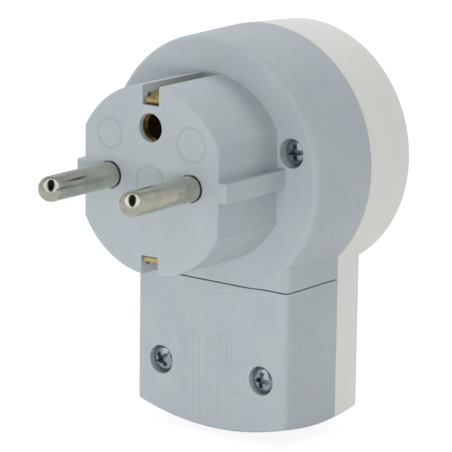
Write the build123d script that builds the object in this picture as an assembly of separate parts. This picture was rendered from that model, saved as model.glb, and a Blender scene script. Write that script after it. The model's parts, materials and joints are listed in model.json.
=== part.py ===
from build123d import *
import os

# A two-pole-and-earth plug that carries a recessed socket in its back.
# The origin is midway between the pins, on the face that meets the wall socket.
# The pins point to -Y, the socket opens to +Y and the cord arm hangs to -Z.
# All sizes are in millimetres, and a cut runs 1 past the face that it opens.

# Pin pattern, shared by the plug and the socket in its back
pin_diameter = 4.8
pin_spacing = 19.0
pin_length = 19.0
earth_offset = 10.0
earth_pin_reach = 14.0
pin_entry = 0.6
earth_entry = 0.6
earth_lip = 1.0
earth_taper = 0.1

# Plug boss
boss_radius = 17.9
boss_depth = 17.9
flat_half_width = 15.7
rib_projection = 1.95
rib_height = 3.8
groove_width = 3.9
groove_floor = 14.15
boss_edge_round = 0.45

# Round head and socket cup
rim_radius = 24.85
rim_round = 1.2
rim_skirt = 0.75
rim_skirt_drop = 0.15
seam_relief = 0.2
seam_radius = 25.15
head_depth = 16.6
cup_depth = 14.1
cup_rear_radius = 24.3
cup_edge_round = 0.8
well_diameter = 39.5
well_depth = 15.0
well_edge_chamfer = 0.6

# Cord arm
arm_width = 35.8
arm_setback = 0.75
arm_rear_depth = 7.5
arm_corner_round = 1.0
arm_drop = 52.2
dome_radius = 58.2
dome_edge_round = 0.5
split_drop = 22.0
split_gap = 0.25
cord_hole_diameter = 9.2
cord_collar_height = 3.4
cord_collar_wall = 1.4

# Mouldings
wall = 1.8
front_wall = 2.5
ring_wall = 2.0
well_floor = 2.0
well_wall = 1.6
groove_wall = 1.0
rib_thickness = 1.2
tongue_height = 1.2
tongue_root = 1.5
tongue_thickness = 0.9
lap_height = 1.5
lap_thickness = 0.85
lap_inset = 0.5
fin_angles = (42, 138, 215, 325)
fuse_depth = 0.5

# Brass
strip_thickness = 0.8
clip_width = 3.5
clip_lift = 0.3
clip_bow = 1.8
clip_bow_length = 12.0
clip_bow_round = 5.0
clip_front_gap = 0.5
pip_diameter = 0.7
pip_reach = 0.45
pip_depth = 2.2
pip_hole_diameter = 1.3
pip_hole_rise = 0.2
pip_hole_room = 0.3
strip_setback = 1.4
link_width = 5.2
earth_plate_width = 6.4
sleeve_wall = 0.55
sleeve_lip = 0.05
sleeve_lip_length = 0.4
sleeve_groove = 0.3
sleeve_mouth = 1.0
sleeve_slit_length = 11.4
contact_wall = 0.65
contact_play = 0.05
contact_slit = 0.6
contact_ring = 2.4
contact_setback = 0.4
pin_tip_room = 1.6
swage_length = 0.8
pin_root = 0.18
pin_collar = 0.9
pin_collar_height = 1.2
pin_seat_depth = 7.0
pin_seat_wall = 1.6
rivet_diameter = 3.0
rivet_spread = 0.6
terminal_size = 6.4
terminal_height = 8.0
terminal_chamfer = 0.4
terminal_top = 25.0
wire_hole_diameter = 3.4

# Shutter behind the well floor
shutter_travel = 5.8
shutter_depth = 4.8
shutter_cover = 3.0
shutter_block_width = 6.4
shutter_bar_height = 2.8
shutter_bar_depth = 2.9
shutter_slide_play = 0.25
ramp_nose = 0.5
ramp_start = 2.2
retainer_thickness = 1.6
retainer_radius = 20.0
retainer_edge = 0.25
retainer_top = 16.0
retainer_hole_diameter = 6.0
stop_width = 4.2
stop_height = 2.0
rail_width = 2.0
peg_diameter = 2.4
peg_x = 12.4
peg_z = 11.5
spring_diameter = 4.0
spring_wire = 0.5
spring_length = 10.0
spring_turns = 6
spring_ledge = 1.6
spring_ledge_margin = 1.0

# Screws
screw_head_diameter = 5.1
screw_head_height = 1.9
screw_head_crown = 0.9
screw_shank_diameter = 2.9
screw_tip_share = 0.2
counterbore_diameter = 5.6
screw_post_wall = 1.0
post_step = 0.6
pilot_floor = 0.4
housing_screw_x = 18.8
housing_screw_z = 5.0
housing_screw_sink = 0.9
housing_screw_tip_room = 0.5
cover_screw_x = 12.0
cover_screw_z = 39.7
cover_screw_sink = 0.0
cover_screw_tip_room = 1.05
small_head_diameter = 4.4
small_head_height = 1.6
terminal_screw_diameter = 3.0
terminal_screw_length = 5.0
clamp_screw_diameter = 2.4
clamp_screw_length = 7.5
clamp_screw_x = 7.3
clamp_z = 46.0
clamp_setback = 6.0
clamp_width = 3.4
clamp_thickness = 3.0
clamp_half_length = 9.6
clamp_round = 1.5
recess_width = 0.85
recess_share = 0.6
recess_depth = 1.1
slot_width = 0.5
slot_depth = 0.8
housing_screw_turns = (25, 5)
cover_screw_turns = (40, -5)

# Clearances between separate pieces
slide_gap = 0.1
bore_gap = 0.05

# Depths along Y that several pieces share
pin_radius = pin_diameter / 2
root_radius = pin_radius + pin_root
seam = boss_depth + head_depth
rear = seam + cup_depth
well_bottom = rear - well_depth
floor_face = well_bottom - well_floor
arm_front = boss_depth + arm_setback
arm_rear = seam + arm_rear_depth
arm_middle = (arm_front + arm_rear) / 2
retainer_rear = floor_face - shutter_slide_play - shutter_depth - shutter_slide_play
retainer_front = retainer_rear - retainer_thickness
contact_rear = retainer_front - contact_setback
strip_rear = retainer_front - strip_setback
strip_front = strip_rear - strip_thickness
contact_front = well_bottom - pin_length - pin_tip_room
skirt_front = contact_front - swage_length
post_joint = retainer_front - post_step
floor_pilot_end = well_bottom - well_floor / 2
arm_pilot_end = arm_rear - wall - pilot_floor

# Radii and heights that several pieces share
half_spacing = pin_spacing / 2
well_radius = well_diameter / 2
well_outer = well_radius + well_wall
contact_bore = pin_radius + contact_play
contact_outer = contact_bore + contact_wall
sleeve_outer = contact_bore + sleeve_wall
arm_half_width = arm_width / 2
arm_inner_half_width = arm_half_width - wall
arm_inner_rear = arm_rear - wall
dome_centre_z = dome_radius - arm_drop
clip_inner = groove_floor + clip_lift
clip_outer = clip_inner + strip_thickness
clip_middle = (clip_inner + clip_outer) / 2
pip_z = clip_middle + clip_bow * (pip_depth - clip_front_gap) / (clip_bow_length / 2)
shutter_half_width = half_spacing + shutter_block_width / 2
rail_inner = shutter_half_width + shutter_slide_play
pilot_radius = screw_shank_diameter / 2 + bore_gap
clamp_pilot_radius = clamp_screw_diameter / 2 + bore_gap
shutter_bar_bottom = -shutter_cover - shutter_bar_height
shutter_front = floor_face - shutter_slide_play
spring_y = shutter_front - spring_diameter / 2
spring_bottom = shutter_bar_bottom - spring_length
terminal_bottom = terminal_top + terminal_height
terminal_rear = strip_rear + terminal_size
clamp_front = seam - clamp_setback
clamp_rear = clamp_front + clamp_thickness
both_sides = (-1, 1)


def slab(outline, front, back):
    """Solid between two depths along Y, from an outline drawn in X and Z."""
    return extrude(Plane.XZ.offset(-front) * outline, amount=front - back)


def rod(radius, front, back, x=0.0, z=0.0):
    """Round rod along Y."""
    return slab(Pos(x, z) * Circle(radius), front, back)


def upright(radius, bottom, top, x, y):
    """Round rod along Z."""
    return Pos(x, y, (bottom + top) / 2) * Cylinder(radius, top - bottom)


def block(x, y, z):
    """Rectangular block between pairs of limits."""
    size = [high - low for low, high in (x, y, z)]
    middle = [(high + low) / 2 for low, high in (x, y, z)]
    return Pos(*middle) * Box(*size)


def turned(*points):
    """Solid turned about Y from points of (radius, depth)."""
    return revolve(make_face(Polyline(*points, close=True)), Axis.Y)


def dome(inset=0.0):
    """Ball whose underside closes the arm, with its poles turned away from there."""
    ball = Rot(0, -90, 0) * Sphere(dome_radius - inset)
    return Pos(0, arm_middle, dome_centre_z) * ball


# Shapes that both mouldings share


def arm_block(front, back, bottom, top):
    """Outer form of the cord arm between two depths and two heights."""
    arm = block((-arm_half_width, arm_half_width), (arm_front, arm_rear), (-2 * arm_drop, 0))
    arm = fillet(arm.edges().filter_by(Axis.Z), arm_corner_round)
    arm = arm & dome()
    underside = arm.faces().filter_by(GeomType.SPHERE).edges()
    arm = fillet(underside, dome_edge_round)
    return arm & block((-arm_width, arm_width), (front, back), (bottom, top))


def arm_hollow(front, back, bottom, top):
    """Inside of the cord arm between two depths and two heights."""
    width = (-arm_inner_half_width, arm_inner_half_width)
    return block(width, (front, back), (bottom, top)) & dome(wall)


def head_radius(depth):
    """Outer radius of the drafted head at a depth."""
    return rim_radius + (seam_radius - rim_radius) * (depth - boss_depth) / head_depth


def head_body():
    """Round head with its rolled front rim."""
    head = turned((0, boss_depth), (rim_radius, boss_depth), (seam_radius, seam), (0, seam))
    rim = head.edges().filter_by(GeomType.CIRCLE).sort_by(Axis.Y)[0]
    return fillet(rim, rim_round)


def rim_blend(bottom, top):
    """Shallow skirt where the rim of the head runs out onto the arm's front."""
    skirt = turned(
        (0, boss_depth + rim_skirt_drop),
        (rim_radius - rim_round, boss_depth + rim_skirt_drop),
        (rim_radius + rim_skirt, arm_front),
        (0, arm_front),
    )
    half = arm_half_width - arm_corner_round
    return skirt & block((-half, half), (boss_depth, arm_front), (bottom, top))


def boss_outline():
    """Face of the plug: a circle with two flats and a rib on each."""
    face = Circle(boss_radius) & Rectangle(2 * flat_half_width, 2 * boss_radius)
    return face + Rectangle(2 * (flat_half_width + rib_projection), rib_height)


def boss_body():
    """Plug boss with soft front edges and the two earth grooves."""
    boss = slab(boss_outline(), 0, boss_depth + ring_wall / 2)
    boss = fillet(boss.faces().sort_by(Axis.Y)[0].edges(), boss_edge_round)
    half = groove_width / 2
    for side in both_sides:
        height = sorted((side * groove_floor, side * 2 * boss_radius))
        boss -= block((-half, half), (-1, boss_depth), height)
        for wall_side in both_sides:
            z = side * (pip_z + pip_hole_rise)
            boss -= side_pip(wall_side, pip_hole_diameter, pip_reach + pip_hole_room, z)
    return boss


def side_pip(side, diameter, reach, z):
    """Round pip from the middle of a groove that reaches into its wall, or the hole for it."""
    length = groove_width / 2 + reach
    return Pos(side * length / 2, pip_depth, z) * Rot(0, 90, 0) * Cylinder(diameter / 2, length)


def boss_hollow():
    """Inside of the boss, kept clear of the groove floors."""
    outline = Circle(boss_radius - wall)
    outline &= Rectangle(2 * (flat_half_width - wall), 2 * boss_radius)
    for side in both_sides:
        height = 2 * boss_radius
        middle = side * (groove_floor - groove_wall + height / 2)
        outline -= Pos(0, middle) * Rectangle(groove_width + 2 * groove_wall, height)
    return slab(outline, front_wall, boss_depth + ring_wall)


def screw_counterbore(front, sink, x, z):
    """Sunk seat and clearance hole of a screw that goes in along +Y."""
    seat = front + sink + screw_head_height
    hole = rod(counterbore_diameter / 2, front - 1, seat, x, z)
    return hole + rod(screw_shank_diameter / 2 + slide_gap, seat, rear, x, z)


def front_housing():
    """Grey moulding: boss, head, the short top of the arm and what they hold."""
    body = boss_body() + head_body()
    body += arm_block(arm_front, seam, -2 * arm_drop, 0)
    body += rim_blend(-split_drop, -boss_radius / 2)
    body &= block((-rear, rear), (-1, seam), (-split_drop + split_gap / 2, rear))

    front = boss_depth + ring_wall
    head_cavity = turned(
        (0, front),
        (head_radius(front) - wall, front),
        (seam_radius - wall, seam),
        (0, seam),
    )
    body -= head_cavity + boss_hollow()
    body -= arm_hollow(arm_front + wall, seam, -split_drop, -seam_radius / 2)

    for angle in fin_angles:
        middle = (boss_radius + seam_radius - wall) / 2
        fin = Rot(0, 0, angle) * Pos(middle, 0) * Rectangle(seam_radius - boss_radius, rib_thickness)
        body += slab(fin, front - ring_wall / 2, post_joint) & head_body()

    for side in both_sides:
        x = side * housing_screw_x
        z = housing_screw_z
        body += rod(counterbore_diameter / 2 + screw_post_wall, front - 1, post_joint, x, z) & head_body()
        body -= screw_counterbore(boss_depth, housing_screw_sink, x, z)

        x = side * half_spacing
        body += rod(root_radius + pin_seat_wall, front_wall - 1, pin_seat_depth, x)
        body -= rod(root_radius + bore_gap, -1, pin_seat_depth + 1, x)
        body -= rod(root_radius + pin_collar + slide_gap, pin_seat_depth, seam, x)

        slot = sorted((side * groove_floor, side * (clip_outer + 2 * slide_gap)))
        half = groove_width / 2
        body -= block((-half, half), (boss_depth - 1, front + 1), slot)

    seat = rod(sleeve_outer + groove_wall, front_wall - 1, pin_seat_depth, 0, earth_offset)
    body += seat & slab(Rectangle(4 * pin_radius, 2 * groove_floor), 0, pin_seat_depth)
    body -= earth_mouth()
    body -= rod(sleeve_outer + bore_gap, earth_lip, strip_front, 0, earth_offset)
    return body


def earth_mouth():
    """Tapered entry of the earth hole, through the lip in front of the sleeve."""
    middle = pin_radius + earth_entry / 2
    wide = middle + earth_taper
    narrow = middle - earth_taper
    cone = turned((0, -earth_lip), (wide, -earth_lip), (narrow, earth_lip), (0, earth_lip))
    return Pos(0, 0, earth_offset) * cone


def cord_cover():
    """Grey moulding that closes the front of the arm."""
    top = -split_drop - split_gap / 2
    low = -2 * arm_drop
    body = arm_block(arm_front, seam, low, top)
    body += head_body() & block((-rear, rear), (0, seam), (low, top))
    body += rim_blend(low, top)
    body -= arm_hollow(arm_front + wall, seam + 1, low, top + 1)
    inner = arm_front + wall

    lap_half = arm_inner_half_width - lap_inset
    lap_width = (-lap_half, lap_half)
    lap_root = (top - 2 * lap_height, top + lap_height)
    lap_back = inner + slide_gap + lap_thickness
    body += block(lap_width, (inner + slide_gap, lap_back), lap_root)
    body += block(lap_width, (inner - slide_gap, lap_back), (lap_root[0], top))

    for side in both_sides:
        x = side * cover_screw_x
        post = rod(counterbore_diameter / 2 + screw_post_wall, arm_front + 1, clamp_front, x, -cover_screw_z)
        body += post & arm_block(arm_front, seam, low, top)
        body -= screw_counterbore(arm_front, cover_screw_sink, x, -cover_screw_z)

    body += cord_collar() & block((-rear, rear), (arm_front, seam), (low, top))
    body -= cord_hole()
    return body


def cord_collar():
    """Wall round the cord hole, inside the arm."""
    bottom = -arm_drop + cord_collar_height
    collar = upright(cord_hole_diameter / 2 + cord_collar_wall, -2 * arm_drop, bottom, 0, seam)
    return collar & arm_block(arm_front, arm_rear, -2 * arm_drop, 0)


def cord_hole():
    """Cord outlet, shared by the cover and the rear housing."""
    return upright(cord_hole_diameter / 2, -2 * arm_drop, -arm_drop + cord_collar_height + 1, 0, seam)


def cup_body():
    """Outer form of the socket cup, with draft and a soft rear edge."""
    cup = turned((0, seam), (seam_radius, seam), (cup_rear_radius, rear), (0, rear))
    edge = cup.edges().filter_by(GeomType.CIRCLE).sort_by(Axis.Y)[-1]
    return fillet(edge, cup_edge_round)


def cup_hollow():
    """Channel between the outer wall and the wall of the well."""
    back = rear - ring_wall
    draft = (seam_radius - cup_rear_radius) * (back - seam) / cup_depth
    return turned(
        (well_outer, seam - 1),
        (seam_radius - wall, seam - 1),
        (seam_radius - wall - draft, back),
        (well_outer, back),
    )


def rear_housing():
    """Off-white moulding: socket well, cup and the back of the arm."""
    low = -2 * arm_drop
    body = cup_body() + arm_block(seam, arm_rear, low, 0)
    seam_face = body.faces().sort_by(Axis.Y)[0]
    body = chamfer(seam_face.outer_wire().edges(), seam_relief)
    body -= cup_hollow()
    body -= arm_hollow(seam - 1, arm_inner_rear, low, -seam_radius / 2)
    body += rod(well_outer, floor_face, rear - 1)

    tongue_outer = seam_radius - wall - slide_gap
    tongue_inner = tongue_outer - tongue_thickness
    ring = Circle(tongue_outer) - Circle(tongue_inner)
    root = Circle(seam_radius - wall / 2) - Circle(tongue_inner)
    above_arm = Pos(0, rear - seam_radius / 2) * Rectangle(2 * rear, 2 * rear)
    body += slab(ring & above_arm, seam - tongue_height, seam + tongue_root)
    body += slab(root & above_arm, seam, seam + tongue_root)

    for side in both_sides:
        body += screw_post(side)
        body += rod(peg_diameter / 2, post_joint, floor_face + 1, side * peg_x, peg_z)

        x = side * cover_screw_x
        radius = pilot_radius + screw_post_wall
        body += rod(radius, clamp_front, arm_inner_rear + 1, x, -cover_screw_z)

        x = side * clamp_screw_x
        radius = clamp_pilot_radius + screw_post_wall
        body += rod(radius, clamp_rear, arm_inner_rear + 1, x, -clamp_z)

    body += terminal_seats()
    body += cord_collar() & block((-rear, rear), (seam, arm_rear), (low, 0))

    body -= rod(well_radius, well_bottom, rear + 1)
    mouth = body.faces().filter_by(Axis.Y).sort_by(Axis.Y)[-1].edges().sort_by(SortBy.RADIUS)[0]
    body = chamfer(mouth, well_edge_chamfer)

    hole = pin_radius + pin_entry / 2
    for side in both_sides:
        body -= rod(hole, floor_face - 1, well_bottom + 1, side * half_spacing)
        x = side * housing_screw_x
        body -= rod(pilot_radius, post_joint - 1, floor_pilot_end, x, housing_screw_z)
        x = side * cover_screw_x
        body -= rod(pilot_radius, clamp_front - 1, arm_pilot_end, x, -cover_screw_z)
        x = side * clamp_screw_x
        body -= rod(clamp_pilot_radius, clamp_rear - 1, arm_pilot_end, x, -clamp_z)
    body -= rod(root_radius + bore_gap, floor_face - 1, well_bottom + 1, 0, earth_offset)
    body -= cord_hole()
    return body


def screw_post(side, clearance=0.0):
    """Post for a housing screw, or with a clearance the space that it takes."""
    radius = pilot_radius + screw_post_wall + clearance
    return rod(radius, post_joint, floor_face + 1, side * housing_screw_x, housing_screw_z)


def terminal_seats():
    """Two cross ribs that carry the terminals and two barriers between them."""
    half = rib_thickness / 2
    back = arm_inner_rear + 1
    reach = arm_inner_half_width - slide_gap
    seats = Part()
    for z in (-terminal_top - rib_thickness, -terminal_bottom + rib_thickness):
        seats += block((-reach, reach), (terminal_rear, back), (z - half, z + half))
    for side in both_sides:
        x = side * half_spacing / 2
        height = (-terminal_bottom - 1, -terminal_top + 1)
        seats += block((x - half, x + half), (strip_rear, back), height)
    return seats


def plug_pin(side):
    """Pin with a ball nose, a collar behind its seat and a root in the contact's skirt."""
    x = side * half_spacing
    pin = rod(pin_radius, pin_radius - pin_length, 0)
    pin += Pos(0, pin_radius - pin_length, 0) * Rot(90, 0, 0) * Sphere(pin_radius)
    pin += rod(root_radius, 0, contact_front)
    pin += rod(root_radius + pin_collar, pin_seat_depth, pin_seat_depth + pin_collar_height)
    return Pos(x, 0, 0) * pin


def rivet(front, back, play=0.0):
    """Spun rivet tail, or with some play the countersunk hole that it fills."""
    narrow = rivet_diameter / 2 + play
    wide = narrow + rivet_spread
    return turned((0, front), (narrow, front), (wide, back), (0, back))


def socket_contact(side):
    """Slit sleeve for a pin from behind, swaged on its plug pin, with a strip to the terminal."""
    half = link_width / 2
    contact = rod(contact_outer, skirt_front, contact_rear)
    contact += block((-half, half), (strip_front, strip_rear), (-terminal_bottom, 0))
    contact -= rod(contact_bore, skirt_front - 1, contact_rear + 1)
    contact -= rod(root_radius + bore_gap, skirt_front - 1, contact_front)
    slit_start = contact_front + contact_ring
    slit = (-contact_slit / 2, contact_slit / 2)
    contact -= block((-2 * contact_outer, 2 * contact_outer), (slit_start, contact_rear + 1), slit)
    contact -= terminal_hole()
    return Pos(side * half_spacing, 0, 0) * contact


def terminal_hole():
    """Clearance hole of a clamping screw through a strip, on the arm's centre."""
    z = -(terminal_top + terminal_bottom) / 2
    return rod(terminal_screw_diameter / 2 + slide_gap, strip_front - 1, strip_rear + 1, 0, z)


def terminal(x):
    """Brass block with a wire hole from below and a screw hole from the front."""
    half = terminal_size / 2
    z = -(terminal_top + terminal_bottom) / 2
    body = block((-half, half), (strip_rear, terminal_rear), (-terminal_bottom, -terminal_top))
    body = chamfer(body.edges().filter_by(Axis.Z), terminal_chamfer)
    wire_y = (strip_rear + terminal_rear) / 2
    body -= upright(wire_hole_diameter / 2, -terminal_bottom - 1, -terminal_top + 1, 0, wire_y)
    body -= rod(terminal_screw_diameter / 2 + bore_gap, strip_rear - 1, wire_y, 0, z)
    return Pos(x, 0, 0) * body


def earth_frame():
    """Brass strip: two bowed clips in the grooves, joined by a plate behind."""
    bow = FilletPolyline(
        (clip_front_gap, clip_middle),
        (clip_front_gap + clip_bow_length / 2, clip_middle + clip_bow),
        (clip_front_gap + clip_bow_length, clip_middle),
        (strip_rear, clip_middle),
        radius=clip_bow_round,
    )
    clip = extrude(Plane.YZ * trace(bow, strip_thickness), amount=clip_width / 2, both=True)
    half = earth_plate_width / 2
    frame = block((-half, half), (strip_front, strip_rear), (-terminal_bottom, clip_outer))
    for wall_side in both_sides:
        clip += side_pip(wall_side, pip_diameter, pip_reach, pip_z)
    frame += clip + mirror(clip, Plane.XY)
    frame -= Pos(0, 0, earth_offset) * rivet(strip_rear, strip_front, bore_gap)
    frame -= terminal_hole()
    return frame


def earth_sleeve():
    """Slit sleeve behind the earth hole, with a lip and a groove at its mouth."""
    front = earth_lip + slide_gap
    lip_radius = contact_bore + sleeve_lip
    groove_radius = contact_bore + sleeve_groove
    sleeve = turned(
        (lip_radius, front),
        (sleeve_outer, front),
        (sleeve_outer, strip_front),
        (contact_bore, strip_front),
        (contact_bore, front + sleeve_mouth),
        (groove_radius, front + sleeve_mouth),
        (groove_radius, front + sleeve_lip_length),
        (lip_radius, front + sleeve_lip_length),
    )
    half = contact_slit / 2
    height = (-2 * sleeve_outer, 2 * sleeve_outer)
    sleeve -= block((-half, half), (front - 1, front + sleeve_slit_length), height)
    return Pos(0, 0, earth_offset) * sleeve


def earth_pin():
    """Pin that stands in the well, riveted to the earth plate."""
    tip = well_bottom + earth_pin_reach
    pin = rod(pin_radius, well_bottom, tip - pin_radius)
    pin += Pos(0, tip - pin_radius, 0) * Rot(90, 0, 0) * Sphere(pin_radius)
    pin += rod(root_radius, strip_rear, well_bottom)
    pin += rod(root_radius + pin_collar, strip_rear, retainer_front - slide_gap)
    pin += rivet(strip_rear, strip_front)
    return Pos(0, 0, earth_offset) * pin


def shutter():
    """Two wedges over the pin holes on one bar, pushed down by the pins."""
    back = shutter_front - shutter_depth
    wedge = make_face(
        Polyline(
            (shutter_front, shutter_bar_bottom),
            (shutter_front, -ramp_start),
            (back + ramp_nose, shutter_cover),
            (back, shutter_cover),
            (back, shutter_bar_bottom),
            close=True,
        )
    )
    half = shutter_block_width / 2
    block_pair = extrude(Plane.YZ * wedge, amount=half, both=True)
    body = Pos(-half_spacing, 0, 0) * block_pair + Pos(half_spacing, 0, 0) * block_pair
    bar_z = (shutter_bar_bottom, -shutter_cover)
    width = (-shutter_half_width, shutter_half_width)
    body += block(width, (shutter_front - shutter_bar_depth, shutter_front), bar_z)
    nose = spring_diameter / 2 - 2 * spring_wire
    tip = shutter_bar_bottom - spring_diameter / 2
    return body + upright(nose, tip, shutter_bar_bottom + 1, 0, spring_y)


def shutter_spring():
    """Compression spring that holds the shutter up."""
    radius = (spring_diameter - spring_wire) / 2
    run = spring_length - spring_wire - 2 * bore_gap
    path = Helix(pitch=run / spring_turns, height=run, radius=radius)
    start = path.position_at(0)
    section = Plane(start, z_dir=path.tangent_at(0)) * Circle(spring_wire / 2)
    coil = sweep(section, path=path)
    return Pos(0, spring_y, spring_bottom + spring_wire / 2 + bore_gap) * coil


def shutter_retainer():
    """Plate that keeps the shutter against the well floor, with its two rails."""
    bottom = spring_bottom - spring_ledge
    outline = Circle(retainer_radius)
    height = retainer_top - bottom
    half_width = rail_inner + rail_width + retainer_edge
    outline &= Pos(0, bottom + height / 2) * Rectangle(2 * half_width, height)
    body = slab(outline, retainer_front, retainer_rear)
    stop = shutter_cover + bore_gap
    for side in both_sides:
        width = sorted((side * rail_inner, side * (rail_inner + rail_width)))
        low = shutter_bar_bottom - shutter_travel
        body += block(width, (retainer_rear - fuse_depth, floor_face), (low, stop + stop_height))
        x = side * half_spacing
        half = stop_width / 2
        depth = (retainer_rear - fuse_depth, retainer_rear + shutter_depth / 2)
        body += block((x - half, x + half), depth, (stop, stop + stop_height))
    half = spring_diameter / 2 + spring_ledge_margin
    ledge = (retainer_rear - fuse_depth, shutter_front - slide_gap)
    body += block((-half, half), ledge, (bottom, spring_bottom))
    for side in both_sides:
        body -= rod(retainer_hole_diameter / 2, retainer_front - 1, retainer_rear, side * half_spacing)
        body -= rod(peg_diameter / 2 + slide_gap, retainer_front - 1, retainer_rear + 1, side * peg_x, peg_z)
        body -= screw_post(side, slide_gap)
    body -= rod(root_radius + bore_gap, retainer_front - 1, retainer_rear + 1, 0, earth_offset)
    return body


def driver_recess(top, head_diameter, turn):
    """Cross for the driver with a slot across the whole head, cut down from a screw's crown."""
    bit = slab(Rot(0, 0, turn) * Rectangle(2 * head_diameter, slot_width), top - 1, top + slot_depth)
    for angle in (turn, turn + 90):
        arm = Rectangle(head_diameter * recess_share, recess_width)
        bit += slab(Rot(0, 0, angle) * arm, top - 1, top + recess_depth)
    return bit


def screw(head_diameter, head_height, shank_diameter, length, seat, x, z, turn=0):
    """Dome-headed screw along Y, whose head sits on a seat at a given depth."""
    top = seat - head_height
    ball = ((head_diameter / 2) ** 2 + screw_head_crown**2) / (2 * screw_head_crown)
    head = rod(head_diameter / 2, top, seat)
    head &= Pos(0, top + ball, 0) * Rot(90, 0, 0) * Sphere(ball)
    body = head + rod(shank_diameter / 2, seat - fuse_depth, seat + length)
    end = body.edges().filter_by(GeomType.CIRCLE).sort_by(Axis.Y)[-1]
    body = chamfer(end, shank_diameter * screw_tip_share)
    body -= driver_recess(top, head_diameter, turn)
    return Pos(x, 0, z) * body


def pair_of_screws(front, sink, end, x, z, turns):
    """Two case screws, one on each side, sunk in from a face and long enough for an end."""
    seat = front + sink + screw_head_height
    sizes = (screw_head_diameter, screw_head_height, screw_shank_diameter, end - seat)
    return [screw(*sizes, seat, side * x, z, turn) for side, turn in zip(both_sides, turns)]


def terminal_screws():
    """One clamping screw for each terminal."""
    z = -(terminal_top + terminal_bottom) / 2
    sizes = (small_head_diameter, small_head_height, terminal_screw_diameter, terminal_screw_length)
    return [screw(*sizes, strip_front, x, z) for x in (-half_spacing, 0, half_spacing)]


def cord_clamp():
    """Bar that presses the cord against the back of the arm."""
    half = clamp_width / 2
    height = (-clamp_z - half, -clamp_z + half)
    bar = block((-clamp_half_length, clamp_half_length), (clamp_front, clamp_rear), height)
    bar = fillet(bar.edges().filter_by(Axis.Y), clamp_round)
    bar -= upright(cord_hole_diameter / 2, -arm_drop, -split_drop, 0, seam)
    for side in both_sides:
        radius = clamp_screw_diameter / 2 + slide_gap
        bar -= rod(radius, clamp_front - 1, clamp_rear + 1, side * clamp_screw_x, -clamp_z)
    return bar


def clamp_screws():
    """Two screws of the cord clamp."""
    sizes = (small_head_diameter, small_head_height, clamp_screw_diameter, clamp_screw_length)
    return [screw(*sizes, clamp_front, side * clamp_screw_x, -clamp_z) for side in both_sides]


housing_screw_end = floor_pilot_end - housing_screw_tip_room
cover_screw_end = arm_pilot_end - cover_screw_tip_room

pieces = {
    "front_housing": front_housing(),
    "rear_housing": rear_housing(),
    "cord_cover": cord_cover(),
    "line_pin": plug_pin(-1),
    "neutral_pin": plug_pin(1),
    "line_contact": socket_contact(-1),
    "neutral_contact": socket_contact(1),
    "earth_frame": earth_frame(),
    "earth_sleeve": earth_sleeve(),
    "earth_pin": earth_pin(),
    "line_terminal": terminal(-half_spacing),
    "neutral_terminal": terminal(half_spacing),
    "earth_terminal": terminal(0),
    "terminal_screws": terminal_screws(),
    "shutter": shutter(),
    "shutter_spring": shutter_spring(),
    "shutter_retainer": shutter_retainer(),
    "cord_clamp": cord_clamp(),
    "clamp_screws": clamp_screws(),
    "housing_screws": pair_of_screws(
        boss_depth,
        housing_screw_sink,
        housing_screw_end,
        housing_screw_x,
        housing_screw_z,
        housing_screw_turns,
    ),
    "cover_screws": pair_of_screws(
        arm_front, cover_screw_sink, cover_screw_end, cover_screw_x, -cover_screw_z, cover_screw_turns
    ),
}

os.makedirs("parts", exist_ok=True)
for name, shape in pieces.items():
    solids = shape if isinstance(shape, list) else [shape]
    solids = [solid for item in solids for solid in item.solids()]
    group = Compound(children=solids) if len(solids) > 1 else solids[0]
    export_step(group, f"parts/{name}.step")
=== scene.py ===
import json
import math

import bmesh
import bpy
from mathutils import Matrix, Vector


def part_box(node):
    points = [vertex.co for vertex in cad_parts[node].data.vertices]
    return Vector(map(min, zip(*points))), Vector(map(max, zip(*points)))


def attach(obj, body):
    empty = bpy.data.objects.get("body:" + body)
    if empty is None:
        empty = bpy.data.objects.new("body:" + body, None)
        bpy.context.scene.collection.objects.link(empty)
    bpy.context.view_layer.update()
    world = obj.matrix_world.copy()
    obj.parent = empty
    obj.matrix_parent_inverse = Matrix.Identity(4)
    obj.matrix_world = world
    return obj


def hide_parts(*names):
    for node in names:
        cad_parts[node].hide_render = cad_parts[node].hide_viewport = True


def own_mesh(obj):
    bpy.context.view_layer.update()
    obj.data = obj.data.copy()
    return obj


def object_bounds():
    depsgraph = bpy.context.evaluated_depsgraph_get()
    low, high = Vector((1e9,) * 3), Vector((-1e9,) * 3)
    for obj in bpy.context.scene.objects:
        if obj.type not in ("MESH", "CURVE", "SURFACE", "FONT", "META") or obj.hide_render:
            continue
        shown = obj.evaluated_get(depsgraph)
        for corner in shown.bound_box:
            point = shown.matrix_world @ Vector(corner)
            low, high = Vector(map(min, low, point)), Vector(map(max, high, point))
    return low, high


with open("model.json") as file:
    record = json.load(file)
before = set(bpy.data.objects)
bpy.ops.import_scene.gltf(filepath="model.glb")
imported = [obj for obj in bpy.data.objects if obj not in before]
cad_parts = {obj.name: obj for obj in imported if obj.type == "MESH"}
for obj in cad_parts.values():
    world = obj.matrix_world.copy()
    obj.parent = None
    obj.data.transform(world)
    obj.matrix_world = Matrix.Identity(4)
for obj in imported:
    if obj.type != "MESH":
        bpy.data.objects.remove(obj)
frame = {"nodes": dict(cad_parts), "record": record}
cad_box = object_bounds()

MM = 0.001

# Sizes are in millimetres in the CAD frame unless a comment says otherwise

# Plug pins: shank, thicker root that starts behind the face, and its collar
PIN_RADIUS = 2.4
PIN_ROOT_RADIUS = 2.58
PIN_ROOT_START = 0.45
PIN_COLLAR_RADIUS = 3.48
PIN_COLLAR_EDGE = 0.12
PIN_COLLAR = (7.0, 8.2)

# Points round a turned piece, and along a ball nose
TURNED_SIDES = 96
NOSE_STEPS = 20

# Pin in the socket well: collar behind the well's floor, and its rivet tail's radii
EARTH_HEIGHT = 10.0
EARTH_PIN_COLLAR = (23.3, 24.6)
EARTH_PIN_RIVET = (1.5, 2.1)
WELL_FLOOR = 33.6

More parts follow.
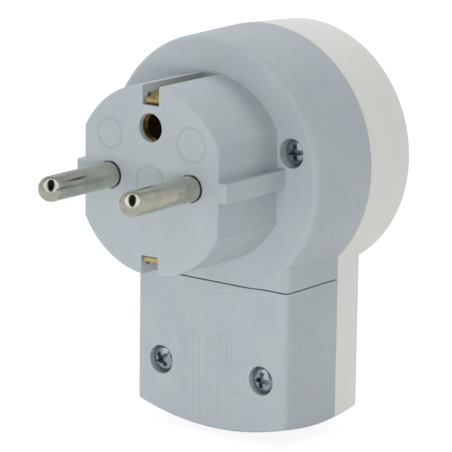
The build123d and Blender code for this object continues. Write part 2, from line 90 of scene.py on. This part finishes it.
# Screw heads: dome and soft edge, then the width and depth of the slot and of the cross
HEAD_CROWN = 0.9
HEAD_EDGE = 0.12
HEAD_STEPS = 9
SLOT = (0.5, 0.8)
CROSS = (0.95, 1.5)
# Lengths of the slot and of the cross, in head radii, and how far the cutters stand out
SLOT_LENGTH = 3
CROSS_LENGTH = 1.2
CUTTER_STAND = 1

# Screw threads: the ridge's half width is a share of the pitch, rows are points per pitch, and
# the cut is how much thinner the tip is than the thread
THREAD_DEPTH = 0.32
THREAD_RIDGE = 0.3
THREAD_ROWS = 8
TIP_CUT = 1.5 * THREAD_DEPTH
SCREW_SIDES = 48

# Spring under the shutter
SPRING_RADIUS = 1.75
SPRING_TURNS = 6
SPRING_CLOSED_TURNS = 0.8
SPRING_STEPS = 40
WIRE_RADIUS = 0.25
WIRE_SIDES = 12

# Plain circles sunk into the face: centre across, centre up, radius
FACE_RINGS = ((-9.6, 7.8, 2.8), (9.5, 8.0, 3.2), (0.0, -0.2, 3.2))
RING_WIDTH = 0.5
RING_DEPTH = 0.14
# How far from its middle a circle's groove rises, in widths, and how deep in the part it ends
RING_SLOPE = (0.2, 0.6)
RING_END = (0.2, 0.4)

# Raised lines on the cord cover: across, top and bottom
ARM_FACE = 18.65
GAUGE_LINES = (
    (-4.3, -31.5, -49.2),
    (-2.8, -33.6, -49.0),
    (-0.9, -33.2, -48.4),
    (0.3, -33.2, -48.4),
    (1.7, -32.0, -49.0),
    (2.4, -32.0, -49.0),
    (3.7, -34.0, -48.5),
    (4.9, -34.0, -48.5),
)
# Their scales: from and to across, top and bottom
GAUGE_SCALES = ((-7.9, -5.4, -32.2, -45.6), (5.35, 6.9, -37.3, -43.7))
GAUGE_PITCH = 0.75
GAUGE_WIDTH = 0.36
GAUGE_RISE = 0.1
# How far a line reaches into the cover, and how wide its ends are as a share of its width
GAUGE_ROOT = 0.01
GAUGE_END = 0.4
# A raised line's section, as shares of its width and rise
GAUGE_SECTION = ((-0.5, -0.02), (-0.32, 0.85), (0, 1), (0.32, 0.85), (0.5, -0.02))

# Camera as the photograph was taken: angles in degrees, aim to the right and up
VIEW_TURN = 37.671
VIEW_RISE = 12.948
VIEW_ROLL = 0.75
VIEW_DISTANCE = 593.85
VIEW_AIM = (13.912, -8.149)
VIEW_FOCAL = 258.45
VIEW_NEAR = 10.0
SENSOR = 36.0

# Table, in metres: how far it reaches, and how far it comes towards the camera
FLOOR_REACH = 1.5
FLOOR_FRONT = 0.15
# How much of the table is plain white where it is seen, and how bright there and in gloss
FLOOR_WHITE = 0.78
FLOOR_GLOW = 1.14
FLOOR_MIRRORED = 0.64
FLOOR_ROUGHNESS = 0.9

# Studio, by direction, with sines for lengths: the tent's axis is tilted up from the camera's
# in degrees, the doorway has a half width and a half height, and each edge fades to the next
TENT_TILT = 30
TENT_EDGE = (0.38, 0.44)
DOORWAY = (0.54, 0.87)
DOORWAY_EDGE = (0.85, 1.1)
DOORWAY_SIDE = (0.0, 0.1)
CEILING_EDGE = (0.5, 0.75)
TABLE_EDGE = (-0.1, 0.0)
WALL_CORNER = (0.0, 0.3)
STUDIO_COLOUR = (0.98, 0.99, 1.0, 1)
WHITE = (1, 1, 1, 1)
# How bright each part of the studio is as a light, and as it shows in gloss
STUDIO_LIGHT = {
    "tent": 0.0,
    "doorway": 0.75,
    "right_wall": 0.0,
    "left_wall": 1.3,
    "ceiling": 3.3,
}
STUDIO_GLOSS = {
    "tent": 1.15,
    "doorway": 0.0,
    "right_wall": 0.56,
    "left_wall": 0.54,
    "ceiling": 0.28,
}
# The point that the lamps face, in metres
LAMP_AIM = (0, 0.02, -0.012)

# Rays that a rounded edge is worked out from
EDGE_SAMPLES = 6


# Shader building


class Level:
    """A number that varies over a surface, with Python operators as Math nodes."""

    def __init__(self, shader, socket):
        self.shader = shader
        self.socket = socket

    def _join(self, kind, *values):
        node = self.shader.node("ShaderNodeMath", {"operation": kind}, dict(enumerate(values)))
        return Level(self.shader, node.outputs[0])

    def __add__(self, other):
        return self._join("ADD", self, other)

    def __radd__(self, other):
        return self._join("ADD", other, self)

    def __sub__(self, other):
        return self._join("SUBTRACT", self, other)

    def __rsub__(self, other):
        return self._join("SUBTRACT", other, self)

    def __mul__(self, other):
        return self._join("MULTIPLY", self, other)

    def __rmul__(self, other):
        return self._join("MULTIPLY", other, self)

    def __pow__(self, other):
        return self._join("POWER", self, other)

    def __abs__(self):
        return self._join("ABSOLUTE", self)

    def at_least(self, other):
        """The larger of the two."""
        return self._join("MAXIMUM", self, other)

    def between(self, low, high):
        """0 at low and below, 1 at high and above."""
        node = self.shader.node(
            "ShaderNodeMapRange",
            {"interpolation_type": "SMOOTHSTEP"},
            {"Value": self, "From Min": low, "From Max": high},
        )
        return Level(self.shader, node.outputs["Result"])


class Shader:
    """A node tree, built from a few named node calls."""

    def __init__(self, tree):
        self.tree = tree

    def node(self, kind, settings=None, sockets=None):
        """A node of a type, with its settings first and then its sockets' values or links."""
        node = self.tree.nodes.new(kind)
        for key, value in (settings or {}).items():
            setattr(node, key, value)
        for key, value in (sockets or {}).items():
            if isinstance(value, Level):
                value = value.socket
            if isinstance(value, bpy.types.NodeSocket):
                self.tree.links.new(value, node.inputs[key])
            else:
                node.inputs[key].default_value = value
        return node

    def vector(self, kind, first, second):
        """A vector node's result from two vectors or links."""
        node = self.node("ShaderNodeVectorMath", {"operation": kind}, {0: first, 1: second})
        return node.outputs["Value" if kind in ("DISTANCE", "DOT_PRODUCT") else "Vector"]

    def blend(self, share, first, second):
        """A colour between two colours or links."""
        node = self.node("ShaderNodeMix", {"data_type": "RGBA"}, {0: share, 6: first, 7: second})
        return node.outputs[2]


class Finish(Shader):
    """One material, with its principled surface."""

    def __init__(self, name, metallic=0.0, **fixed):
        self.material = bpy.data.materials.new(name)
        self.material.use_nodes = True
        super().__init__(self.material.node_tree)
        self.surface = self.tree.nodes["Principled BSDF"]
        self.surface.inputs["Metallic"].default_value = metallic
        for socket, value in fixed.items():
            self.surface.inputs[socket.replace("_", " ")].default_value = value

    def place(self, stretch=(1, 1, 1)):
        """The piece's own coordinates in metres, stretched along each axis."""
        where = self.node("ShaderNodeTexCoord").outputs["Object"]
        if stretch == (1, 1, 1):
            return where
        return self.vector("MULTIPLY", where, stretch)

    def noise(self, size_mm, detail=2.0, stretch=(1, 1, 1), distortion=0.0):
        """Noise from 0 to 1 whose lumps are about this large."""
        sockets = {
            "Vector": self.place(stretch),
            "Scale": 1 / (size_mm * MM),
            "Detail": detail,
            "Distortion": distortion,
        }
        return Level(self, self.node("ShaderNodeTexNoise", None, sockets).outputs["Fac"])

    def grains(self, size_mm):
        """Distance to the nearest of many small grains."""
        sockets = {"Vector": self.place(), "Scale": 1 / (size_mm * MM)}
        return Level(self, self.node("ShaderNodeTexVoronoi", None, sockets).outputs["Distance"])

    def rounded(self, radius_mm):
        """The direction that the surface would face with its edges rounded."""
        settings = {"samples": EDGE_SAMPLES}
        return self.node("ShaderNodeBevel", settings, {"Radius": radius_mm * MM}).outputs[0]

    def corners(self, radius_mm):
        """How far rounding would turn the surface: 0 on flats, 0.3 on square corners."""
        flat = self.node("ShaderNodeNewGeometry").outputs["Normal"]
        return 1 - Level(self, self.vector("DOT_PRODUCT", self.rounded(radius_mm), flat))

    def set(self, socket, value):
        """Feed one of the surface's sockets."""
        if isinstance(value, Level):
            value = value.socket
        self.tree.links.new(value, self.surface.inputs[socket])

    def relief(self, *layers, soften_mm=0.0):
        """Bump from (height, depth in millimetres) layers, over edges softened by a radius."""
        normal = self.rounded(soften_mm) if soften_mm else None
        for height, depth in layers:
            sockets = {"Height": height, "Distance": depth * MM, "Strength": 1.0}
            if normal:
                sockets["Normal"] = normal
            normal = self.node("ShaderNodeBump", None, sockets).outputs[0]
        self.set("Normal", normal)


def colour(red, green, blue):
    """A colour as it is written in sRGB from 0 to 255, for a shader."""
    parts = [part / 255 for part in (red, green, blue)]
    linear = [p / 12.92 if p <= 0.04045 else ((p + 0.055) / 1.055) ** 2.4 for p in parts]
    return (*linear, 1.0)


# Finishes


def face_ring_groove(finish):
    """1 in the plain circles sunk into the plug's face, 0 elsewhere."""
    flat = finish.place((1, 0, 1))
    depth = Level(finish, finish.vector("DOT_PRODUCT", finish.place(), (0, 1, 0)))
    slope = [share * RING_WIDTH * MM for share in RING_SLOPE]
    groove = 0.0
    for across, up, radius in FACE_RINGS:
        centre = (across * MM, 0, up * MM)
        off = abs(Level(finish, finish.vector("DISTANCE", flat, centre)) - radius * MM)
        groove = groove + (1 - off.between(*slope))
    return groove * (1 - depth.between(*[end * MM for end in RING_END]))


def moulded_plastic(
    name, body, cool, warm, roughness, grain_depth, soften=0.25, marks=None, edge_highlight=None
):
    """Satin moulding: spark-eroded grain, faint flow tints, softened corners, and a painted
    highlight that makes the corners paler.
    """
    finish = Finish(name, IOR=1.5)
    tint = finish.noise(size_mm=9, detail=3, distortion=0.4)
    patch = finish.noise(size_mm=2.2, detail=2)
    base = finish.blend(tint.between(0.35, 0.7), body, cool)
    base = finish.blend(patch.between(0.45, 0.75) * 0.5, base, warm)
    grain = finish.noise(size_mm=0.16, detail=2)
    base = finish.blend(grain.between(0.3, 0.75) * 0.25, base, cool)
    if edge_highlight:
        # Painted highlight: corners and rounded edges are painted paler, standing in for the light
        # that rounded edges catch
        painted_edge_highlight = finish.corners(radius_mm=0.35).between(0.03, 0.25)
        base = finish.blend(painted_edge_highlight * 0.6, base, edge_highlight)
    finish.set("Base Color", base)
    finish.set("Roughness", roughness - 0.05 + 0.1 * finish.noise(size_mm=1.2, detail=3))
    layers = [(finish.noise(size_mm=5, detail=1), 0.03), (grain, grain_depth)]
    if marks:
        layers.append((1 - marks(finish), RING_DEPTH))
    finish.relief(*layers, soften_mm=soften)
    return finish.material


def nickel():
    """Warm nickel plate on turned pins, with faint turning marks."""
    finish = Finish("nickel_plate", metallic=1.0)
    streak = finish.noise(size_mm=0.35, detail=3, stretch=(0.12, 1, 0.12))
    cloud = finish.noise(size_mm=2.5, detail=2)
    base = finish.blend(cloud.between(0.3, 0.7), colour(209, 208, 192), colour(190, 191, 177))
    finish.set("Base Color", base)
    finish.set("Roughness", 0.11 + 0.08 * streak + 0.05 * cloud)
    finish.relief((streak, 0.0012), soften_mm=0.06)
    return finish.material


def sheet_brass():
    """Rolled brass strip with a rolling grain and a little tarnish."""
    finish = Finish("sheet_brass", metallic=1.0)
    rolled = finish.noise(size_mm=0.3, detail=3, stretch=(1, 0.08, 1))
    tarnish = finish.noise(size_mm=1.6, detail=4, distortion=0.6)
    base = finish.blend(tarnish.between(0.45, 0.72), colour(214, 196, 128), colour(168, 140, 78))
    finish.set("Base Color", base)
    finish.set("Roughness", 0.2 + 0.12 * rolled + 0.1 * tarnish)
    finish.relief((rolled, 0.004), (tarnish, 0.01), soften_mm=0.08)
    return finish.material


def blue_zinc():
    """Bright zinc with a blue passivation that drifts to green and straw."""
    finish = Finish("blue_zinc", metallic=1.0)
    drift = finish.noise(size_mm=1.1, detail=2, distortion=1.2)
    speck = finish.grains(size_mm=0.12)
    base = finish.blend(drift.between(0.3, 0.7), colour(164, 184, 194), colour(182, 192, 188))
    base = finish.blend(speck.between(0.2, 0.6) * 0.3, base, colour(146, 164, 176))
    finish.set("Base Color", base)
    finish.set("Roughness", 0.2 + 0.12 * drift)
    finish.relief((speck, 0.003), (drift, 0.008), soften_mm=0.05)
    return finish.material


def drawn_wire():
    """Spring wire with a fine grain from drawing."""
    finish = Finish("drawn_wire", metallic=1.0)
    lines = finish.noise(size_mm=0.1, detail=2)
    base = finish.blend(lines.between(0.3, 0.7), colour(168, 170, 172), colour(132, 136, 140))
    finish.set("Base Color", base)
    finish.set("Roughness", 0.28 + 0.12 * lines)
    finish.relief((lines, 0.004))
    return finish.material


# Each moulding's body colour with its cooler and warmer tints
GREY = (colour(181, 188, 192), colour(176, 184, 190), colour(181, 189, 190))
OFF_WHITE = (colour(228, 228, 222), colour(224, 226, 221), colour(229, 228, 218))
NATURAL = (colour(206, 206, 202), colour(198, 200, 198), colour(210, 207, 198))
# Paler grey painted on the grey moulding's corners as a painted highlight of its rounded edges
EDGE_HIGHLIGHT_GREY = colour(208, 213, 216)

FINISHES = {
    "grey_plastic": moulded_plastic(
        "grey_moulding",
        *GREY,
        roughness=0.46,
        grain_depth=0.006,
        marks=face_ring_groove,
        # The paler grey is painted on the corners as a painted highlight
        edge_highlight=EDGE_HIGHLIGHT_GREY,
    ),
    "white_plastic": moulded_plastic(
        "white_moulding", *OFF_WHITE, roughness=0.44, grain_depth=0.006
    ),
    "inner_plastic": moulded_plastic(
        "inner_moulding", *NATURAL, roughness=0.5, grain_depth=0.008
    ),
    "plated_pin": nickel(),
    "brass": sheet_brass(),
    "zinc_steel": blue_zinc(),
    "spring_steel": drawn_wire(),
}
# The raised lines are too thin for softened edges
LINE_PLASTIC = moulded_plastic(
    "raised_line_moulding", *GREY, roughness=0.46, grain_depth=0.004, soften=0.0
)


# Mesh helpers


def placed(name, data):
    """A new object in the scene."""
    made = bpy.data.objects.new(name, data)
    bpy.context.scene.collection.objects.link(made)
    return made


def data_from(name, mesh):
    """Mesh data from a bmesh, with its faces turned outwards."""
    bmesh.ops.recalc_face_normals(mesh, faces=mesh.faces)
    data = bpy.data.meshes.new(name)
    mesh.to_mesh(data)
    mesh.free()
    return data


def piece(name, data, slot_name, sharp_degrees=35):
    """A finished piece from mesh data in metres, riding on the plug's body."""
    made = placed(name, data)
    data.materials.clear()
    data.materials.append(FINISHES[slot_name])
    data.shade_smooth()
    data.set_sharp_from_angle(angle=math.radians(sharp_degrees))
    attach(made, "body")
    return made


def box_mm(node):
    """Lowest and highest corner of a CAD node, in millimetres."""
    return [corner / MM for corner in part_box(node)]


def skin(mesh, rings):
    """Faces from each ring of points to the next, where a ring may be a single point."""
    for first, second in zip(rings, rings[1:]):
        sides = max(len(first), len(second))
        for step in range(sides):
            after = (step + 1) % sides
            loop = [first[step % len(first)], first[after % len(first)]]
            loop += [second[after % len(second)], second[step % len(second)]]
            mesh.faces.new(list(dict.fromkeys(loop)))


def turned(profile, sides=TURNED_SIDES, centre=(0, 0)):
    """Closed solid turned about Y from (radius, depth) points in millimetres, ends on the axis.

    A radius may also be a function of the angle."""
    mesh = bmesh.new()
    x0, z0 = centre
    rings = []
    for radius, depth in profile:
        if radius == 0:
            rings.append([mesh.verts.new((x0 * MM, depth * MM, z0 * MM))])
            continue
        ring = []
        for step in range(sides):
            angle = 2 * math.pi * step / sides
            reach = radius(angle) if callable(radius) else radius
            spot = (x0 + reach * math.cos(angle), depth, z0 + reach * math.sin(angle))
            ring.append(mesh.verts.new([part * MM for part in spot]))
        rings.append(ring)
    skin(mesh, rings)
    return mesh


def ball_nose(tip, radius, away):
    """Profile points of a half ball from its tip on the axis to its full radius."""
    angles = [math.pi / 2 * step / NOSE_STEPS for step in range(1, NOSE_STEPS + 1)]
    points = [(radius * math.sin(a), tip + away * radius * (1 - math.cos(a))) for a in angles]
    return [(0, tip)] + points


def carve(data, cutters):
    """Mesh data with other closed meshes cut out of it one after another."""
    body = placed("carved", data)
    tools = []
    for cutter in cutters:
        tool = placed("cutter", cutter)
        tools.append(tool)
        cut = body.modifiers.new("cut", "BOOLEAN")
        cut.operation = "DIFFERENCE"
        cut.solver = "EXACT"
        cut.object = tool
    graph = bpy.context.evaluated_depsgraph_get()
    done = bpy.data.meshes.new_from_object(body.evaluated_get(graph))
    for helper in [body] + tools:
        bpy.data.objects.remove(helper)
    return done


def bar_across(x, z, turn, length, width, front, back):
    """Straight bar lying across a screw's axis, from one depth to another."""
    mesh = bmesh.new()
    bmesh.ops.create_cube(mesh, size=1.0)
    spin = Matrix.Rotation(math.radians(-turn), 4, "Y")
    grow = Matrix.Diagonal((length * MM, (back - front) * MM, width * MM, 1))
    move = Matrix.Translation(Vector((x, (front + back) / 2, z)) * MM)
    bmesh.ops.transform(mesh, matrix=move @ spin @ grow, verts=mesh.verts)
    return data_from("bar", mesh)


# Pins


def plug_pin(node):
    """Plug pin: ball nose, polished shank and the collared root inside the face."""
    low, high = box_mm(node)
    profile = ball_nose(low.y, PIN_RADIUS, 1)
    profile += [(PIN_RADIUS, PIN_ROOT_START), (PIN_ROOT_RADIUS, PIN_ROOT_START)]
    profile += collar(*PIN_COLLAR)
    profile += [(PIN_ROOT_RADIUS, high.y), (0, high.y)]
    centre = ((low.x + high.x) / 2, 0)
    name = "turned_" + node
    made = piece(name, data_from(name, turned(profile, centre=centre)), "plated_pin")
    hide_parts(node)


def collar(start, end):
    """Profile points of the collar that holds a pin in its seat, from and to its root."""
    root, out = PIN_ROOT_RADIUS, PIN_COLLAR_RADIUS
    points = [(root, start), (out - PIN_COLLAR_EDGE, start), (out, start + PIN_COLLAR_EDGE)]
    return points + [(out, end - PIN_COLLAR_EDGE), (out - PIN_COLLAR_EDGE, end), (root, end)]


def earth_pin():
    """Pin in the well: behind the floor it widens to its collar and ends in a rivet tail."""
    low, high = box_mm("earth_pin")
    narrow, wide = EARTH_PIN_RIVET
    profile = ball_nose(high.y, PIN_RADIUS, -1)
    profile += [(PIN_RADIUS, WELL_FLOOR), (PIN_ROOT_RADIUS, WELL_FLOOR)]
    profile += collar(*reversed(EARTH_PIN_COLLAR))[1:-1]
    profile += [(wide, EARTH_PIN_COLLAR[0]), (narrow, low.y), (0, low.y)]
    name = "well_earth_pin"
    mesh = turned(profile, centre=(0, EARTH_HEIGHT))
    made = piece(name, data_from(name, mesh), "plated_pin")
    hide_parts("earth_pin")


# Screws


def thread(shank, pitch, depth, fade):
    """A rolled thread's radius at a depth, as a function of the angle."""

    def crest(angle):
        phase = (depth / pitch - angle / (2 * math.pi)) % 1
        ridge = max(0.0, 1 - abs(phase - 0.5) / THREAD_RIDGE)
        return shank - THREAD_DEPTH * (1 - ridge * fade)

    return crest


def one_screw(x, z, top, end, head_radius, head_height, shank, pitch, turn):
    """Dome-headed screw with a cross and a slot, and a rolled thread to its cut-off tip."""
    seat = top + head_height
    ball = (head_radius**2 + HEAD_CROWN**2) / (2 * HEAD_CROWN)
    profile = [(0, top)]
    for step in range(1, HEAD_STEPS + 1):
        radius = (head_radius - HEAD_EDGE / 2) * step / HEAD_STEPS
        profile.append((radius, top + ball - math.sqrt(ball**2 - radius**2)))
    edge = top + HEAD_CROWN
    profile += [(head_radius, edge + HEAD_EDGE / 2), (head_radius, seat - HEAD_EDGE)]
    profile += [(head_radius - HEAD_EDGE, seat), (shank - THREAD_DEPTH, seat)]
    start = seat + pitch / 2
    rows = int((end - start) / pitch * THREAD_ROWS)
    for row in range(rows):
        depth = start + (end - start) * row / rows
        fade = min(1.0, (depth - start) / pitch, (end - depth) / pitch)
        profile.append((thread(shank, pitch, depth, fade), depth))
    profile += [(shank - TIP_CUT, end), (0, end)]
    data = data_from("screw", turned(profile, sides=SCREW_SIDES, centre=(x, z)))
    slot_width, slot_depth = SLOT
    cross_width, cross_depth = CROSS
    slot_length, cross_length = head_radius * SLOT_LENGTH, head_radius * CROSS_LENGTH
    front = top - CUTTER_STAND
    cutters = [bar_across(x, z, turn, slot_length, slot_width, front, top + slot_depth)]
    for angle in (turn, turn + 90):
        bar = bar_across(x, z, angle, cross_length, cross_width, front, top + cross_depth)
        cutters.append(bar)
    return carve(data, cutters)


def screws(name, node, head_height, shank, pitch, turns):
    """A row of alike screws that stands for a CAD node, at its places and lengths."""
    low, high = box_mm(node)
    head_radius = (high.z - low.z) / 2
    mesh = bmesh.new()
    for index, turn in enumerate(turns):
        share = index / (len(turns) - 1)
        x = low.x + head_radius + share * (high.x - low.x - 2 * head_radius)
        z = (low.z + high.z) / 2
        mesh.from_mesh(one_screw(x, z, low.y, high.y, head_radius, head_height, shank, pitch, turn))
    made = piece(name, data_from(name, mesh), "zinc_steel")
    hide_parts(node)


# Spring


def shutter_spring():
    """Compression spring with closed ends, over the height of the CAD spring."""
    low, high = box_mm("shutter_spring")
    middle = (low + high) / 2
    closed = SPRING_CLOSED_TURNS
    end_rise = closed * 2 * WIRE_RADIUS
    coil_height = high.z - low.z - 2 * WIRE_RADIUS - 2 * end_rise
    mesh = bmesh.new()
    rings = []
    for step in range(int((SPRING_TURNS + 2 * closed) * SPRING_STEPS) + 1):
        turns = step / SPRING_STEPS
        inner = min(max(turns - closed, 0), SPRING_TURNS) / SPRING_TURNS
        ends = min(turns, closed) + max(turns - closed - SPRING_TURNS, 0)
        z = low.z + WIRE_RADIUS + ends * 2 * WIRE_RADIUS + inner * coil_height
        angle = 2 * math.pi * turns
        out = Vector((math.cos(angle), math.sin(angle), 0))
        centre = Vector((middle.x, middle.y, z)) + out * SPRING_RADIUS
        ring = []
        for side in range(WIRE_SIDES):
            around = 2 * math.pi * side / WIRE_SIDES
            reach = out * math.cos(around) + Vector((0, 0, math.sin(around)))
            ring.append(mesh.verts.new((centre + reach * WIRE_RADIUS) * MM))
        rings.append(ring)
    skin(mesh, rings)
    mesh.faces.new(rings[0])
    mesh.faces.new(rings[-1])
    made = piece("coil_spring", data_from("coil_spring", mesh), "spring_steel")
    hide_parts("shutter_spring")
    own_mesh(made)


# Moulded lines on the cord cover


def raised_line(mesh, start, end):
    """Low rounded line between two (across, up) points on the arm's face."""
    start, end = Vector(start), Vector(end)
    along = (end - start).normalized()
    side = Vector((-along.y, along.x))
    rows = []
    for point, full in ((start, 0.0), (start, 1.0), (end, 1.0), (end, 0.0)):
        inset = along * (GAUGE_WIDTH / 2) * full * (1 if point is start else -1)
        width = GAUGE_WIDTH * (GAUGE_END + (1 - GAUGE_END) * full)
        row = []
        for across, rise in GAUGE_SECTION:
            spot = point + inset + side * across * width
            depth = ARM_FACE + GAUGE_ROOT - GAUGE_RISE * rise * full
            row.append(mesh.verts.new(Vector((spot.x, depth, spot.y)) * MM))
        rows.append(row)
    skin(mesh, rows)
    mesh.faces.new(rows[0])
    mesh.faces.new(rows[-1])


def strip_gauge():
    """Plain raised lines and scales on the cover, where wires are measured for stripping."""
    mesh = bmesh.new()
    for across, top, bottom in GAUGE_LINES:
        raised_line(mesh, (across, top), (across, bottom))
    for left, right, top, bottom in GAUGE_SCALES:
        for step in range(int((top - bottom) / GAUGE_PITCH) + 1):
            up = top - step * GAUGE_PITCH
            raised_line(mesh, (left, up), (right, up))
    made = piece("strip_gauge", data_from("strip_gauge", mesh), "grey_plastic", sharp_degrees=60)
    made.data.materials[0] = LINE_PLASTIC


# Carried-over pieces


def dress_carried_pieces():
    """Give every CAD piece the finish of its slot."""
    for sub in frame["record"]["subparts"]:
        node = frame["nodes"][sub["node"]]
        node.data.materials.clear()
        node.data.materials.append(FINISHES[sub["material_slot"]])


# Table, studio and camera


def view_axes():
    """Right, up and back of the photograph's camera."""
    turn, rise, roll = (math.radians(value) for value in (VIEW_TURN, VIEW_RISE, VIEW_ROLL))
    back = Vector(
        (math.sin(turn) * math.cos(rise), -math.cos(turn) * math.cos(rise), math.sin(rise))
    )
    level = Vector((math.cos(turn), math.sin(turn), 0))
    over = back.cross(level)
    right = math.cos(roll) * level + math.sin(roll) * over
    up = math.cos(roll) * over - math.sin(roll) * level
    return right, up, back


def table():
    """Pale table that ends before the camera, white where it is seen or mirrored."""
    low = min(corner[2] for corner in cad_box)
    turn = Matrix.Rotation(math.radians(VIEW_TURN), 3, "Z")
    mesh = bmesh.new()
    corners = []
    for x, y in ((-1, -FLOOR_FRONT), (1, -FLOOR_FRONT), (1, FLOOR_REACH), (-1, FLOOR_REACH)):
        corners.append(mesh.verts.new(turn @ Vector((x * FLOOR_REACH, y, low))))
    mesh.faces.new(corners)
    floor = placed("floor", data_from("floor", mesh))

    paper = Finish("floor_paper", Roughness=FLOOR_ROUGHNESS, Specular_IOR_Level=0.0)
    fibre = paper.noise(size_mm=1.5, detail=3)
    paper.set("Base Color", paper.blend(fibre, colour(236, 236, 236), colour(242, 242, 241)))
    path = paper.node("ShaderNodeLightPath")
    gloss = Level(paper, path.outputs["Is Glossy Ray"])
    seen = Level(paper, path.outputs["Is Camera Ray"])
    seen = seen + Level(paper, path.outputs["Is Transmission Ray"])
    strength = FLOOR_GLOW * (1 - gloss) + FLOOR_MIRRORED * gloss
    glow = paper.node("ShaderNodeEmission", None, {"Color": WHITE, "Strength": strength})
    sockets = {0: seen * FLOOR_WHITE + gloss, 1: paper.surface.outputs[0], 2: glow.outputs[0]}
    mixed = paper.node("ShaderNodeMixShader", None, sockets)
    output = paper.tree.nodes["Material Output"]
    paper.tree.links.new(mixed.outputs[0], output.inputs["Surface"])
    floor.data.materials.append(paper.material)


def studio_parts(sky):
    """How much of each part of the studio lies in a direction, from 0 to 1.

    A white tent hangs over the front, with a dark doorway for the camera in it."""
    towards = sky.node("ShaderNodeTexCoord").outputs["Generated"]
    right, up, back = view_axes()
    tilt = math.radians(TENT_TILT)
    axis = math.cos(tilt) * back + math.sin(tilt) * up
    over = math.cos(tilt) * up - math.sin(tilt) * back
    directions = ((0, 0, 1), right, over, axis)
    height, across, above, facing = (
        Level(sky, sky.vector("DOT_PRODUCT", towards, direction)) for direction in directions
    )
    wide, tall = DOORWAY
    doorway = (across * (1 / wide)) ** 2 + (above * (1 / tall)) ** 2
    doorway = (1 - doorway.between(*DOORWAY_EDGE)) * facing.between(*DOORWAY_SIDE)
    open_side = (1 - facing.between(*TENT_EDGE)) * (1 - doorway)
    ceiling = height.between(*CEILING_EDGE)
    walls = open_side * (1 - ceiling)
    right_side = across.between(*WALL_CORNER)
    return {
        "tent": facing.between(*TENT_EDGE) * (1 - doorway),
        "right_wall": walls * right_side,
        "left_wall": walls * (1 - right_side),
        "ceiling": open_side * ceiling,
        "doorway": doorway * height.between(*TABLE_EDGE),
    }


def studio():
    """Studio round the plug, which lights it and shows in its metal, on a white background."""
    world = bpy.data.worlds.new("studio")
    bpy.context.scene.world = world
    world.use_nodes = True
    world.node_tree.nodes.clear()
    sky = Shader(world.node_tree)
    path = sky.node("ShaderNodeLightPath")
    gloss = Level(sky, path.outputs["Is Glossy Ray"])
    power = 0.0
    for part, share in studio_parts(sky).items():
        level = STUDIO_LIGHT[part] * (1 - gloss) + STUDIO_GLOSS[part] * gloss
        power = power + level * share
    light = sky.node("ShaderNodeBackground", None, {"Color": STUDIO_COLOUR, "Strength": power})
    white = sky.node("ShaderNodeBackground", None, {"Color": WHITE, "Strength": 1.0})
    seen = Level(sky, path.outputs["Is Camera Ray"])
    seen = seen.at_least(Level(sky, path.outputs["Is Transmission Ray"]))
    sockets = {0: seen, 1: light.outputs[0], 2: white.outputs[0]}
    mixed = sky.node("ShaderNodeMixShader", None, sockets)
    output = sky.node("ShaderNodeOutputWorld")
    sky.tree.links.new(mixed.outputs[0], output.inputs["Surface"])


def soft_lamp(name, place, width, height, power):
    """Rectangular lamp that faces the plug and doesn't show in its metal."""
    lamp = bpy.data.lights.new(name, "AREA")
    lamp.shape = "RECTANGLE"
    lamp.size = width
    lamp.size_y = height
    lamp.energy = power
    made = placed(name, lamp)
    made.visible_glossy = False
    made.location = place
    facing = Vector(LAMP_AIM) - Vector(place)
    made.rotation_euler = facing.to_track_quat("-Z", "Y").to_euler()


def lamps():
    """One lamp low at the front right, and one above and behind at the right."""
    soft_lamp("low_lamp", place=(0.25, -0.5, 0.0), width=0.5, height=0.1, power=1.35)
    soft_lamp("back_right_lamp", place=(0.5, 0.45, 0.2), width=0.4, height=0.4, power=0.6)


def camera():
    """Long lens at the photograph's angle and distance."""
    right, up, back = view_axes()
    place = (VIEW_AIM[0] * right + VIEW_AIM[1] * up + VIEW_DISTANCE * back) * MM
    lens = bpy.data.cameras.new("view")
    lens.lens = VIEW_FOCAL
    lens.sensor_width = SENSOR
    lens.sensor_fit = "HORIZONTAL"
    lens.clip_start = VIEW_NEAR * MM
    made = placed("view", lens)
    axes = Matrix((right, up, back)).transposed().to_4x4()
    made.matrix_world = Matrix.Translation(place) @ axes
    bpy.context.scene.camera = made


camera()
dress_carried_pieces()
plug_pin("line_pin")
plug_pin("neutral_pin")
earth_pin()
screws(
    "case_screws", "housing_screws", head_height=1.9, shank=1.45, pitch=1.1, turns=(25, 5)
)
screws(
    "cover_fixing_screws", "cover_screws", head_height=1.9, shank=1.45, pitch=1.1, turns=(40, -5)
)
screws(
    "wire_screws", "terminal_screws", head_height=1.6, shank=1.5, pitch=0.5, turns=(-35, 10, 60)
)
screws(
    "cord_clamp_screws", "clamp_screws", head_height=1.6, shank=1.2, pitch=0.95, turns=(-20, 75)
)
shutter_spring()
strip_gauge()
table()
studio()
lamps()
bpy.context.scene.view_settings.view_transform = "Standard"
